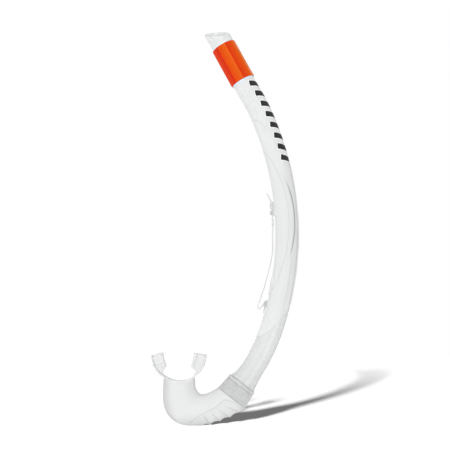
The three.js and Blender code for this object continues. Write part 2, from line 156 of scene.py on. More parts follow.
def bent(side, depth, distance):
    """Points of the straight drawing (sideways, across, along) carried onto the centreline."""
    side, depth, distance = np.broadcast_arrays(side, depth, distance)
    x, z, lean = centreline(distance)
    return np.stack([x + np.cos(lean) * side, depth, z + np.sin(lean) * side], -1)


def around(radius, angle, distance):
    """Points round the tube from a radius, an angle in degrees and a distance along."""
    turn = np.radians(angle)
    return bent(radius * np.cos(turn), radius * np.sin(turn), distance)


def smoothstep(low, high, value):
    """Eases from 0 at low to 1 at high."""
    t = np.clip((np.asarray(value, float) - low) / (high - low), 0, 1)
    return t * t * (3 - 2 * t)


def span(value, start, full, fading, gone):
    """1 from full to fading, and eased to 0 at start and at gone."""
    return smoothstep(start, full, value) * smoothstep(gone, fading, value)


def stroke(x, centre, half_width):
    """A soft ridge across x: 1 at its centre, 0 beyond its half width."""
    return 0.5 + 0.5 * np.cos(math.pi * np.clip((x - centre) / half_width, -1, 1))


def signed_power(value, power):
    return np.sign(value) * np.abs(value) ** power


def smooth_path(points, where):
    """Centripetal Catmull-Rom curve through points; where runs from 0 to 1."""
    knots = np.asarray(points, float)
    knots = np.vstack([2 * knots[0] - knots[1], knots, 2 * knots[-1] - knots[-2]])
    gap = np.sqrt(np.linalg.norm(np.diff(knots, axis=0), axis=1))
    slot = np.clip(where, 0, 1) * (len(points) - 1)
    k = np.minimum(slot.astype(int), len(points) - 2)
    f = (slot - k)[..., None]
    a, b, c, d = (knots[k + i] for i in range(4))
    p, q, r = (gap[k + i][..., None] for i in range(3))
    start = ((b - a) / p - (c - a) / (p + q) + (c - b) / q) * q
    end = ((c - b) / q - (d - b) / (q + r) + (d - c) / r) * q
    square, cube = f * f, f * f * f
    return (
        b * (2 * cube - 3 * square + 1)
        + start * (cube - 2 * square + f)
        + c * (3 * square - 2 * cube)
        + end * (cube - square)
    )


def even_path(points, count):
    """Evenly spaced points along a smooth path, their normals to its right, and its length."""
    dense = smooth_path(points, np.linspace(0, 1, 3000))
    length = np.concatenate([[0], np.cumsum(np.linalg.norm(np.diff(dense, axis=0), axis=1))])
    at = np.linspace(0, length[-1], count)
    path = np.stack([np.interp(at, length, dense[:, i]) for i in range(2)], -1)
    along = np.gradient(path, axis=0)
    along /= np.linalg.norm(along, axis=1)[:, None]
    return path, np.stack([along[:, 1], -along[:, 0]], -1), at


def capped(points):
    """Rows of points, with a row gathered at the middle of each end to close it."""
    ends = [points[i].mean(0, keepdims=True).repeat(points.shape[1], 0)[None] for i in (0, -1)]
    return np.concatenate([ends[0], points, ends[1]])


def grid_mesh(name, points, loop_rows=False, weld=False, sharp=40):
    """An object from a grid of points, in rows that each close on themselves."""
    rows, columns = points.shape[:2]
    index = np.arange(rows * columns).reshape(rows, columns)
    low = index if loop_rows else index[:-1]
    high = np.roll(index, -1, 0) if loop_rows else index[1:]
    faces = np.stack([low, np.roll(low, -1, 1), np.roll(high, -1, 1), high], -1).reshape(-1, 4)
    flat = placed(points).reshape(-1, 3)
    a, b, c, d = (flat[faces[:, i]] for i in range(4))
    volume = (a * np.cross(b, c)).sum() + (a * np.cross(c, d)).sum()
    if volume < 0:
        faces = faces[:, ::-1]
    mesh = bpy.data.meshes.new(name)
    mesh.from_pydata(flat.tolist(), [], faces.tolist())
    made = bpy.data.objects.new(name, mesh)
    bpy.context.scene.collection.objects.link(made)
    if weld:
        add = made.modifiers.new("weld", "WELD")
        add.merge_threshold = 1e-7
        bake(made)
    return smooth(made, sharp)


def smooth(made, sharp=40):
    """Smooth shading, with edges sharper than an angle kept crisp."""
    made.data.shade_smooth()
    made.data.set_sharp_from_angle(angle=math.radians(sharp))
    return made


def store(made, name, values):
    """Keeps one number per vertex for the materials to read."""
    attribute = made.data.attributes.new(name, "FLOAT", "POINT")
    attribute.data.foreach_set("value", np.asarray(values, np.float32).ravel())


def bake(made):
    """Applies an object's modifiers."""
    made.data = bpy.data.meshes.new_from_object(
        made.evaluated_get(bpy.context.evaluated_depsgraph_get())
    )
    made.modifiers.clear()
    return made


def fused(name, pieces, voxel, rounds):
    """One skin round several overlapping solids, with its inside corners softened."""
    together = bmesh.new()
    for piece in pieces:
        together.from_mesh(piece.data)
    made = pieces[0]
    together.to_mesh(made.data)
    together.free()
    for piece in pieces[1:]:
        bpy.data.objects.remove(piece)
    made.name = name
    skin = made.modifiers.new("skin", "REMESH")
    skin.mode = "VOXEL"
    skin.voxel_size = voxel * 0.001
    soft = made.modifiers.new("soft", "SMOOTH")
    soft.factor = 0.5
    soft.iterations = rounds
    bake(made)
    return smooth(made, 60)


def finish_piece(made, paint, slot, body, *nodes):
    """Gives a piece its material, lets it ride on a body and hides the CAD nodes it stands for; slot is
    not used.
    """
    made.data.materials.clear()
    made.data.materials.append(paint)
    if body:
        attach(made, body)
    if nodes:
        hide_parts(*nodes)
    return made


def lets_light_through(made):
    """Milky walls pass soft light on, so they don't darken what they surround."""
    made.visible_diffuse = False
    return made


# ---------------------------------------------------------------- materials


def new_material(name):
    """A new material, its node tree and its main shader."""
    made = bpy.data.materials.new(name)
    made.use_nodes = True
    return made, made.node_tree, made.node_tree.nodes["Principled BSDF"]


def node(tree, kind, settings=None, inputs=None):
    """Adds a shader node. A socket given as an input is linked, anything else is its value."""
    made = tree.nodes.new("ShaderNode" + kind)
    for key, value in (settings or {}).items():
        setattr(made, key, value)
    for key, value in (inputs or {}).items():
        if isinstance(value, bpy.types.NodeSocket):
            tree.links.new(value, made.inputs[key])
        else:
            made.inputs[key].default_value = value
    return made


def place_of(tree, stretch=(1, 1, 1)):
    """Coordinates of a point in the row frame, in millimetres over the stretch."""
    where = node(tree, "TexCoord").outputs["Object"]
    scale = [1000 / s for s in stretch]
    return node(tree, "Mapping", inputs={"Vector": where, "Scale": scale}).outputs["Vector"]


def noise(tree, size, detail=2.0, stretch=(1, 1, 1)):
    """Noise with blotches of about a size in millimetres."""
    inputs = {"Vector": place_of(tree, stretch), "Scale": 1 / size, "Detail": detail}
    return node(tree, "TexNoise", inputs=inputs).outputs["Fac"]


def ramp(tree, factor, stops):
    """Colours along a factor, as (place, colour) stops."""
    made = node(tree, "ValToRGB", inputs={"Fac": factor})
    elements = made.color_ramp.elements
    while len(elements) < len(stops):
        elements.new(0.5)
    for element, (at, colour) in zip(elements, stops):
        element.position = at
        element.color = (*colour, 1) if len(colour) == 3 else (colour[0],) * 3 + (1,)
    return made.outputs["Color"]


def multiplied(tree, a, b):
    made = node(tree, "Mix", {"data_type": "RGBA", "blend_type": "MULTIPLY"}, {0: 1.0, 6: a, 7: b})
    return made.outputs[2]


def ranged(tree, value, low, high):
    """A factor of 0 to 1 carried to low to high."""
    return node(tree, "MapRange", inputs={"Value": value, "To Min": low, "To Max": high}).outputs[0]


def bumped(tree, height, distance, strength=1.0):
    """A normal for a height over a distance in millimetres."""
    inputs = {"Height": height, "Distance": distance * 0.001, "Strength": strength}
    return node(tree, "Bump", inputs=inputs).outputs["Normal"]


def dress(tree, shader, colour, rough, bump):
    """Links a colour, a roughness (size, detail, low, high) and a bump (size, detail, depth)."""
    tree.links.new(colour, shader.inputs["Base Color"])
    size, detail, low, high = rough
    tree.links.new(ranged(tree, noise(tree, size, detail), low, high), shader.inputs["Roughness"])
    size, detail, depth = bump
    tree.links.new(bumped(tree, noise(tree, size, detail), depth), shader.inputs["Normal"])


def milky(name, colour, edge, rough, grain, depth, edge_shade_from=0.55):
    """Milky plastic or silicone: cloudy inside, with painted shade where its wall is seen edge on and
    along the lines stored on each piece.
    """
    made, tree, shader = new_material(name)
    cloud = ramp(tree, noise(tree, 14, 3), [(0.3, [c * 0.988 for c in colour]), (0.7, colour)])
    facing = node(tree, "LayerWeight", inputs={"Blend": 0.5}).outputs["Facing"]
    # Painted shade: the colour darkens where the surface is seen edge on.
    wall = ramp(tree, facing, [(edge_shade_from, (1,)), (1.0, edge)])
    # Painted shade along moulded lines, creases and edges, with faint real streaks, as stored on each
    # piece.
    shade_and_streaks = node(tree, "Attribute", {"attribute_name": "shade_and_streaks"}).outputs["Fac"]
    painted_shade = multiplied(tree, wall, ramp(tree, shade_and_streaks, [(0.0, (1.0,)), (1.0, (0.42,))]))
    base = multiplied(tree, cloud, painted_shade)
    dress(tree, shader, base, (3, 3, rough - 0.06, rough + 0.08), (grain, 4, depth))
    shader.inputs["IOR"].default_value = 1.46
    shader.inputs["Subsurface Weight"].default_value = 0.12
    shader.inputs["Subsurface Radius"].default_value = (1.0, 1.0, 1.0)
    shader.inputs["Subsurface Scale"].default_value = 0.002
    return made


def orange_film():
    """Hi-vis film: long facets painted in two tones of light and shade, lighter towards one edge of each,
    slightly scuffed.
    """
    made, tree, shader = new_material("hi_vis_orange")
    facet_light = node(tree, "Attribute", {"attribute_name": "facet_light"}).outputs["Fac"]
    # Painted light and shade: a colour ramp across each facet, up to a pale painted highlight.
    facet_light_colours = [
        (0.0, (0.66, 0.012, 0.004)), (0.15, (0.72, 0.035, 0.004)), (0.5, (0.76, 0.075, 0.004)),
        (0.85, (0.80, 0.145, 0.006)), (1.0, (0.88, 0.30, 0.085)),
    ]
    base = ramp(tree, facet_light, facet_light_colours)
    scuff = ramp(tree, noise(tree, 2.0, 5, (1, 1, 5)), [(0.35, (0.93,)), (0.65, (1.0,))])
    dress(tree, shader, multiplied(tree, base, scuff), (1.2, 4, 0.3, 0.45), (0.5, 3, 0.015))
    shader.inputs["Specular IOR Level"].default_value = 0.06
    return made


def tape_film():
    """Pale blue-white reflective tape with a fine bead texture."""
    made, tree, shader = new_material("reflective_band")
    beads = node(tree, "TexVoronoi", inputs={"Vector": place_of(tree), "Scale": 4.0}).outputs["Distance"]
    base = ramp(tree, beads, [(0.0, (0.78, 0.93, 1.0)), (0.8, (0.68, 0.88, 0.98))])
    tree.links.new(base, shader.inputs["Base Color"])
    tree.links.new(bumped(tree, beads, 0.02), shader.inputs["Normal"])
    shader.inputs["Roughness"].default_value = 0.25
    shader.inputs["Metallic"].default_value = 0.15
    return made


def grey_plastic():
    """Pale grey satin plastic, with fine streaks and painted shade in its grooves."""
    made, tree, shader = new_material("grey_plastic")
    groove_shade = node(tree, "Attribute", {"attribute_name": "groove_shade"}).outputs["Fac"]
    streak = ramp(tree, noise(tree, 5, 5), [(0.3, (0.55, 0.555, 0.56)), (0.7, (0.65, 0.655, 0.655))])
    # Painted shade, read from a number stored on the collar.
    shade = ramp(tree, groove_shade, [(0.0, (1.0,)), (1.0, (0.6,))])
    dress(tree, shader, multiplied(tree, streak, shade), (2, 4, 0.32, 0.5), (0.4, 3, 0.02))
    return made


def black_rubber():
    made, tree, shader = new_material("seal_rubber")
    base = ramp(tree, noise(tree, 1.5, 4), [(0.3, (0.018,)), (0.7, (0.03,))])
    dress(tree, shader, base, (0.8, 3, 0.55, 0.75), (0.3, 3, 0.02))
    return made


def ink(name, dark, light):
    """Screen-printed ink, with slight thin spots."""
    made, tree, shader = new_material(name)
    base = ramp(tree, noise(tree, 1.0, 5), [(0.3, (dark,)), (0.75, (light,))])
    dress(tree, shader, base, (0.6, 3, 0.45, 0.6), (0.25, 3, 0.01))
    return made


# The third number sets how dark the painted edge shade gets, the last where it starts.
TUBE_PAINT = milky("milky_tube", (0.765, 0.775, 0.775), (0.9,), 0.26, 0.8, 0.01, 0.8)
CARRIER_PAINT = milky("milky_carrier", (0.775, 0.785, 0.785), (0.9,), 0.34, 0.6, 0.015, 0.85)
SILICONE = milky("soft_silicone", (0.75, 0.755, 0.755), (0.74,), 0.5, 0.45, 0.02, 0.4)
# The same silicone again with less painted edge shade, for the mouthpiece.
SILICONE_LESS_EDGE_SHADE = milky("silicone_less_edge_shade", (0.75, 0.755, 0.755), (0.84,), 0.5, 0.45, 0.02, 0.5)
ORANGE = orange_film()
TAPE_PAINT = tape_film()
GREY = grey_plastic()
BLACK_RUBBER = black_rubber()
INK = ink("print_ink", 0.004, 0.012)
WHITE_INK = ink("print_edge", 0.93, 1.0)


# ---------------------------------------------------------------- tube and its rings


def tube_radius(distance):
    """Outer radius of the tube, which widens a little at its top and flares at its foot and mouth."""
    foot = FLARE * (np.clip((FLARE_END - distance) / (FLARE_END - TUBE_FOOT), 0, 1)) ** FLARE_POWER
    wider_top = 0.2 * smoothstep(300, 340, distance)
    lip = 0.7 * smoothstep(406, 420, distance)
    return TUBE_RADIUS + foot + wider_top + lip


def mouth_distance(radius, angle):
    """How far along the tube its slanted mouth cuts a line at a radius and an angle."""
    x, z, lean = centreline(STRAIGHT_FROM)
    middle = centreline(MOUTH_AT)[0]
    turn = np.radians(angle)
    x = x + radius * np.cos(turn) * math.cos(lean)
    z = z + radius * np.cos(turn) * math.sin(lean)
    rise = MOUTH_Z + MOUTH_SLOPE * radius * np.sin(turn) + MOUTH_TILT * (x - middle) - z
    return STRAIGHT_FROM + rise / (math.cos(lean) + MOUTH_TILT * math.sin(lean))


def streaks(angle):
    """Faint drawn-out streaks along the tube, by angle round it."""
    turn = np.radians(angle)
    waves = np.cos(7 * turn + 0.6) + np.cos(13 * turn + 2.1)
    waves = waves + np.cos(23 * turn + 4.0) + np.cos(41 * turn)
    return 0.5 + 0.125 * waves


def tube_shade_and_streaks(angle, s):
    """How dark the bare tube looks: streaked above the collar, with painted shade low on the tube and
    near its foot, a painted shade line just off the outside of the bend, and one painted highlight strip
    on the near side.
    """
    swing = np.where(angle > 180, angle - 360, angle)
    low = smoothstep(135, 95, s)
    # A painted highlight strip on the near side.
    strip = smoothstep(11, 5, np.abs(swing + 72))
    foot_shade = smoothstep(60, 24, s)
    # A painted shade line at -22 degrees, just off the outside of the bend.
    side = stroke(swing, -22, 10)
    shade = 0.05 + 0.12 * streaks(angle) - 0.12 * strip + 0.08 * foot_shade + 0.5 * side
    return np.clip(0.05 * streaks(angle) + low * shade, 0, 1)


def barrel_tube():
    """The bent tube: its outside, the rim of its slanted mouth, its bore and the socket at its foot."""
    angles = np.linspace(0, 360, 144, endpoint=False)[None, :]
    flared = np.linspace(TUBE_FOOT + 0.5, FLARE_END, 24)
    plain = np.linspace(FLARE_END, STRAIGHT_FROM, 150)[1:]
    outer = np.concatenate([flared, plain])
    outer_rows = around(tube_radius(outer)[:, None], angles, outer[:, None])
    top = float(tube_radius(MOUTH_AT))
    profile = [(float(tube_radius(MOUTH_AT - below)), below) for below in (12.0, 6.0)]
    profile += [(top, below) for below in (2.2, 1.5, 1.0)]
    profile += [(top - 0.08, 0.5), (top - 0.3, 0.15), (top - 0.6, 0.0)]
    profile += [(TUBE_BORE + 0.4, 0.0), (TUBE_BORE + 0.1, 0.2)]
    profile += [(TUBE_BORE, below) for below in (0.7, 2.0, 8.0)]
    rim = [
        around(radius, angles, mouth_distance(radius, angles) - below)[0]
        for radius, below in profile
    ]
    inner = np.linspace(STRAIGHT_FROM, SOCKET_END + 0.6, 120)
    inner_rows = around(TUBE_BORE, angles, inner[:, None])
    lip = TUBE_RADIUS + FLARE
    foot = [(SOCKET_BORE, SOCKET_END), (SOCKET_BORE, TUBE_FOOT + 0.3)]
    foot += [(SOCKET_BORE + 0.3, TUBE_FOOT), (lip - 0.4, TUBE_FOOT), (lip - 0.05, TUBE_FOOT + 0.2)]
    foot_rows = np.stack([around(radius, angles, distance)[0] for radius, distance in foot])
    points = np.concatenate([outer_rows, np.stack(rim), inner_rows, foot_rows])
    tube = grid_mesh("breathing_tube", points, loop_rows=True)
    shade_and_streak_values = np.zeros(points.shape[:2])
    shade_and_streak_values[: len(outer_rows)] = tube_shade_and_streaks(angles, outer[:, None])
    # Painted shade just under the mouth's edge, darker towards the outside of the bend.
    shade_towards_right = 0.5 + 0.5 * np.cos(np.radians(angles[0]))
    for row, dark in ((3, 0.06), (4, 0.1), (5, 0.06)):
        shade_and_streak_values[len(outer_rows) + row] = dark * shade_towards_right
    store(tube, "shade_and_streaks", shade_and_streak_values)
    return finish_piece(lets_light_through(tube), TUBE_PAINT, "milky_tube", "barrel", "barrel_tube")


def hi_vis_sleeve():
    """The faceted sleeve, with painted light and shade for each facet that runs from one edge to the
    other.
    """
    per_facet = 12
    count = FACETS * per_facet
    facet_angle = 360 / FACETS
    angles = FIRST_FACET_ANGLE + np.arange(count) * facet_angle / per_facet
    across = np.arange(count) % per_facet / per_facet
    swing = np.radians((across - 0.5) * facet_angle)
    bulge = math.cos(math.radians(facet_angle / 2)) / np.cos(swing)
    flat = SLEEVE_RADIUS * (0.45 + 0.55 * bulge)
    profile = [
        (0.0, SLEEVE_START), (0.0, SLEEVE_END), (0.55, SLEEVE_END), (0.9, SLEEVE_END - 0.25),
        (1.0, SLEEVE_END - 0.7),
    ]
    body = np.linspace(SLEEVE_END - 1.5, SLEEVE_START + 1.5, 24)
    profile += [(1.0, s) for s in body]
    profile += [(1.0, SLEEVE_START + 0.7), (0.9, SLEEVE_START + 0.25), (0.55, SLEEVE_START)]
    inner = TAPE_RADIUS + 0.05
    rows = [around(inner + (flat - inner) * out, angles, np.full(count, s)) for out, s in profile]
    sleeve = grid_mesh("hi_vis_sleeve_skin", np.stack(rows), loop_rows=True, sharp=12)
    # Painted light and shade for each facet, with a thin painted line along its first edge, dark on some
    # facets and light on others.
    facet = np.arange(count) // per_facet % 4
    starts, ends = np.array([0.3, 0.4, 0.2, 0.82]), np.array([0.1, 0.78, 0.72, 0.94])
    facet_light = starts[facet] + (ends - starts)[facet] * across
    facet_light = np.where(across < 0.04, np.array([0.9, 0.0, 0.02, 1.0])[facet], facet_light)
    store(sleeve, "facet_light", np.tile(facet_light, len(rows)))
    return finish_piece(sleeve, ORANGE, "hi_vis_orange", "barrel", "hi_vis_sleeve")


def turned(name, profile, segments=128, sharp=40):
    """A closed ring round the tube from (radius, distance along) points."""
    angles = np.linspace(0, 360, segments, endpoint=False)
    rows = [around(radius, angles, np.full(segments, s)) for radius, s in profile]
    return grid_mesh(name, np.stack(rows), loop_rows=True, sharp=sharp)


def reflective_tape():
    """The band under the sleeve, which shows past both of its ends."""
    start, end = SLEEVE_START - TAPE_OVERHANG, SLEEVE_END + TAPE_OVERHANG
    inner = TUBE_RADIUS + 0.3
    profile = [(inner, start), (TAPE_RADIUS - 0.15, start), (TAPE_RADIUS, start + 0.2)]
    profile += [(TAPE_RADIUS, s) for s in np.linspace(start + 1, end - 1, 12)]
    profile += [(TAPE_RADIUS, end - 0.2), (TAPE_RADIUS - 0.15, end), (inner, end)]
    profile += [(inner, s) for s in np.linspace(end - 1, start + 1, 12)]
    tape = turned("reflective_tape_band", profile)
    return finish_piece(tape, TAPE_PAINT, "reflective_band", "barrel", "reflective_tape")


def skin_radius(angle, s):
    """Radius of the tube's outermost skin above the strap clip: the carrier's, or the bare tube's."""
    above = smoothstep(-0.6, 0.6, s - carrier_top(angle))
    return CARRIER_OUTER + 0.15 + (tube_radius(s) - CARRIER_OUTER - 0.15) * above


def printed_bar(name, index, grow, height, paint):
    """One plain slanted bar of the printed row, laid on the tube."""
    half_length = BAR_HALF_LENGTH + grow
    half_width = BAR_HALF_WIDTH + grow
    corner = BAR_CORNER + grow
    slant = math.radians(BAR_SLANT)
    middle = FIRST_BAR - BAR_PITCH * index
    per_side = 25
    q = half_length * np.sin(np.linspace(-0.5, 0.5, 61) * math.pi)
    past = np.clip(np.abs(q) - half_length + corner, 0, corner)
    reach = half_width - corner + np.sqrt(np.maximum(corner**2 - past**2, 1e-6))
    share = np.concatenate([np.linspace(-1, 1, per_side), np.linspace(1, -1, per_side)])[None, :]
    lift = np.concatenate([np.full(per_side, height), np.full(per_side, -0.1)])[None, :]
    p = share * reach[:, None]
    q = np.broadcast_to(q[:, None], p.shape)
    along = middle + p * math.cos(slant) - q * math.sin(slant)
    about = BAR_ANGLE + np.degrees((p * math.sin(slant) + q * math.cos(slant)) / TUBE_RADIUS)
    rows = around(skin_radius(about, along) + lift, about, along)
    bar = grid_mesh(name, rows, sharp=50)
    return finish_piece(bar, paint, "print_ink", "barrel")


def printed_row():
    """Plain dark bars, each over a slightly larger white one."""
    for index in range(BAR_COUNT):
        printed_bar(f"print_bar_{index + 1}", index, 0.0, 0.14, INK)
        printed_bar(f"print_edge_{index + 1}", index, 0.8, 0.08, WHITE_INK)


# ---------------------------------------------------------------- carrier


def carrier_top(angle):
    """Distance along the tube of the carrier's upper end, by angle round it."""
    return 288.5 + 29 * np.tanh((np.abs(angle) - 90) / 35)


def carrier_bottom(angle):
    """Distance along the tube of the carrier's lower end, by angle round it."""
    return 69 + 44 * ((1 + np.cos(np.radians(angle))) / 2) ** 1.5


def carrier_lines(angle, s):
    """Where a point on the carrier lies from the edge of its leaf, its crescent and its rib, in mm."""
    x = CARRIER_OUTER * np.cos(np.radians(angle))
    away = s - 202
    leaf = x - 1.3 + np.where(away > 0, 0.0023, 0.0019) * away**2
    away = s - 203
    crescent = x - 7.9 + np.where(away > 0, 0.0035, 0.0026) * away**2
    return leaf, crescent, x - 5.2


def carrier_relief(angle, s):
    """Height of the carrier's moulded relief over its plain skin."""
    leaf, crescent, rib = carrier_lines(angle, s)
    height = 0.12 * smoothstep(0.2, -0.2, leaf) - 0.22 * stroke(leaf, 0.25, 0.35)
    strength = span(s, 152, 176, 226, 250)
    height = height - 0.3 * strength * stroke(crescent, 0, 0.35 + 0.75 * strength)
    height = height + 0.3 * strength * stroke(crescent, -1.9, 1.1)
    ribbed = span(s, 112, 130, 150, 168)
    height = height - 0.15 * ribbed * stroke(rib, 0, 0.6) + 0.15 * ribbed * stroke(rib, -1.5, 1.1)
    edge = span(s, 100, 118, 262, 282)
    height = height - 0.25 * edge * stroke(np.abs(angle), CARRIER_EDGE_ANGLE, 6)
    crest = 0.2 * smoothstep(125, 150, s) * smoothstep(252, 225, s)
    crest = crest + 0.3 * smoothstep(167, 171, s) * smoothstep(207.5, 205, s)
    return height + crest * smoothstep(9.5, 6.5, np.abs(angle))


def carrier_shade_and_streaks(angle, s):
    """Painted shade along the carrier's moulded lines, its near side edge and its ends, over faint
    streaks: 0 on its plain skin, 1 in its deepest groove.
    """
    leaf, crescent, rib = carrier_lines(angle, s)
    near = (angle < 0) * 1.0
    shade_and_streaks = 0.08 * streaks(angle) + 0.26 * stroke(leaf, 0.2, 0.55)
    strength = span(s, 152, 176, 226, 250)
    shade_and_streaks = np.maximum(shade_and_streaks, 0.9 * strength * stroke(crescent, 0, 0.6 + 0.75 * strength))
    ribbed = span(s, 90, 120, 150, 172)
    shade_and_streaks = np.maximum(shade_and_streaks, 0.26 * ribbed * stroke(rib, 0, 0.9))
    flank = span(s, 172, 178, 203, 210) * smoothstep(0.4, 1.0, crescent)
    shade_and_streaks = np.maximum(shade_and_streaks, 0.03 * flank)
    edge = span(s, 100, 118, 262, 285) * near
    shade_and_streaks = np.maximum(shade_and_streaks, 0.5 * edge * stroke(np.abs(angle), CARRIER_EDGE_ANGLE, 8))
    # Painted shade at the carrier's two ends.
    rims = stroke(s, carrier_top(angle) - 0.3, 0.9) + stroke(s, carrier_bottom(angle) + 0.3, 0.9)
    return np.maximum(shade_and_streaks, 0.3 * rims)


def flat_on(radius, angle, s, middle, half_length, outer, half_width):
    """Raises a flat seat on the inside of the bend."""
    turn = np.radians(angle)
    plane = outer / np.maximum(-np.cos(turn), 0.2)
    y = np.abs(plane * np.sin(turn))
    inside = smoothstep(half_width + 0.35, half_width, y) * (np.cos(turn) < 0)
    inside = inside * smoothstep(half_length + 0.3, half_length - 0.1, np.abs(s - middle))
    return radius + inside * (plane - radius)


def carrier_angles():
    """Angles round the carrier, closer together where the moulded lines run."""
    fine = np.linspace(-180, 180, 2001)
    weight = np.where((np.abs(fine) > 10) & (np.abs(fine) < 112), 2.6, 1.0)
    share = np.concatenate([[0], np.cumsum(0.5 * (weight[1:] + weight[:-1]))])
    share /= share[-1]
    return np.interp(np.linspace(0, 1, 360, endpoint=False), share, fine)


def carrier_end(angles, edge, inwards):
    """Rounded rows of one oblique end of the carrier and their painted shade, from its edge inwards."""
    skin = CARRIER_OUTER + carrier_relief(angles, edge)
    rows = []
    shade_and_streak_values = []
    for inset, drop in [(0.0, -0.34), (0.05, -0.2), (0.18, -0.1), (0.4, -0.03), (0.9, 0.0)]:
        at = edge + inwards * inset
        rows.append(around(skin + drop, angles, at))
        shade_and_streak_values.append(carrier_shade_and_streaks(angles, at))
    return np.concatenate(rows), np.concatenate(shade_and_streak_values)


def carrier_sheath():
    """The clear carrier round the middle of the tube, with its seats for the stud and the strap."""
    angles = carrier_angles()[None, :]
    low = carrier_bottom(angles)
    high = carrier_top(angles)
    s = low + 1.4 + (high - low - 2.8) * np.linspace(0, 1, 440)[:, None]
    radius = CARRIER_OUTER + carrier_relief(angles, s)
    radius = flat_on(radius, angles, s, *LATCH_SEAT)
    radius = flat_on(radius, angles, s, *STRAP_LAND)
    body = around(radius, angles, s)
    bottom, bottom_shade_and_streaks = carrier_end(angles, low, 1)
    top, top_shade_and_streaks = carrier_end(angles, high, -1)
    inside = np.linspace(1, 0, 60)[:, None]
    lining = around(CARRIER_INNER, angles, low + (high - low) * inside)
    points = np.concatenate([bottom, body, top[::-1], lining])
    sheath = grid_mesh("carrier_skin", points, loop_rows=True, sharp=50)
    # Darker on the raised latch seat.
    latch = (radius > 13.0) * (np.abs(s - LATCH_SEAT[0]) < 8)
    body_shade_and_streaks = np.maximum(carrier_shade_and_streaks(angles, s), 0.35 * latch)
    plain = np.zeros(lining.shape[:2])
    store(sheath, "shade_and_streaks", np.concatenate([bottom_shade_and_streaks, body_shade_and_streaks, top_shade_and_streaks[::-1], plain]))
    return finish_piece(sheath, CARRIER_PAINT, "milky_carrier", "barrel", "carrier_sheath")


# ---------------------------------------------------------------- strap clip


def beside(distance, offset):
    """A point in the plane of the bend, from its distance along the tube and sideways offset."""
    x, z, lean = centreline(distance)
    return (float(x + math.cos(lean) * offset), float(z + math.sin(lean) * offset))


def clip_path():
    """Middle line of the clip's strip, in the plane of the bend."""
    blade = [
        (44.2, 243.7), (46.4, 240.6), (48.0, 237.2),
        beside(221, BLADE_OFFSET), beside(209, BLADE_OFFSET),
        beside(196, -14.75), beside(184, -15.3), (50.4, 180.6), (48.2, 167.8), (44.9, 155.1),
        (41.2, 142.4), (36.9, 129.8), (34.6, 123.4), (34.7, 121.3),
    ]
    hairpin = [(HINGE_X - 0.6, HINGE_Z + 0.2), (HINGE_X + 0.6, HINGE_Z + 0.25)]
    foot = [(38.4, 122.4), (40.7, 126.2), beside(110.8, -13.6), beside(104, -13.45), beside(97, -13.4)]
    return blade + hairpin + foot


def ribbon():
    """The clip's strip, from the tip of its blade round the hairpin to the end of its foot."""
    path, right, at = even_path(clip_path(), 420)
    total = at[-1]
    thickness_at = [0, 8, 14, 118, 126, 132, 138, total - 2, total]
    half = np.interp(at, thickness_at, [0.3, 0.34, 0.46, 0.48, 0.48, 0.5, 0.6, 0.5, 0.3])
    width_at = [0, 1.2, 4, 12, 112, 122, total - 1.5, total]
    width = np.interp(at, width_at, [1.6, 2.9, 3.8, 5.5, 5.5, 4.9, 4.9, 4.0])
    turn = np.linspace(0, 2 * math.pi, 40, endpoint=False)[None, :]
    across = signed_power(np.cos(turn), 0.3) * width[:, None]
    out = signed_power(np.sin(turn), 0.75) * half[:, None]
    flat = path[:, None, :] + right[:, None, :] * out[..., None]
    points = np.stack([flat[..., 0], across, flat[..., 1]], -1)
    return grid_mesh("strap_clip", capped(points), weld=True)


def solid_along(name, outline, half_width):
    """A plate with an outline in the plane of the bend and a thickness across it."""
    rim = np.asarray(outline, float)
    middle = rim.mean(0)
    rows = []
    for share, y in [(0, -1), (1, -1), (1, 1), (0, 1)]:
        edge = middle + (rim - middle) * share
        rows.append(np.stack([edge[:, 0], np.full(len(rim), y * half_width), edge[:, 1]], -1))
    return grid_mesh(name, np.stack(rows), weld=True)


def clip_solids():
    """The two grip ribs, the thumb pad and the web that stand on the clip's strip."""
    made = []
    for distance in (196, 202.8):
        rib = [(distance - 0.7, -14.5), (distance + 0.7, -14.5)]
        rib += [(distance + 0.45, -16.1), (distance - 0.45, -16.1)]
        made.append(solid_along("rib", [beside(*corner) for corner in rib], 4.6))
    pad = [(213.9, -14.6), (220.8, -14.6), (220.8, -16.2), (219.6, -16.7), (215.2, -16.6), (213.9, -16.0)]
    made.append(solid_along("pad", [beside(*corner) for corner in pad], 4.5))
    web = [(39.4, 123.4), (41.4, 126.0), (44.3, 129.6), (44.6, 127.6), (43.2, 121.8)]
    made.append(solid_along("root", web, 1.1))
    return made


def cut_stud_hole(strip):
    """Cuts the oval hole that the stud's head passes through."""
    turn = np.linspace(0, 2 * math.pi, 40, endpoint=False)
    across = HOLE_HALF_WIDTH * np.sin(turn)
    along = STUD_AT + HOLE_HALF_LENGTH * np.cos(turn)
    sides = BLADE_OFFSET + HOLE_CUT_DEPTH * np.array([-1, 1])
    rows = np.stack([bent(np.full(len(turn), side), across, along) for side in sides])
    hole = grid_mesh("hole", capped(rows), weld=True)
    cut = strip.modifiers.new("hole", "BOOLEAN")
    cut.operation = "DIFFERENCE"
    cut.object = hole
    bake(strip)
    bpy.data.objects.remove(hole)


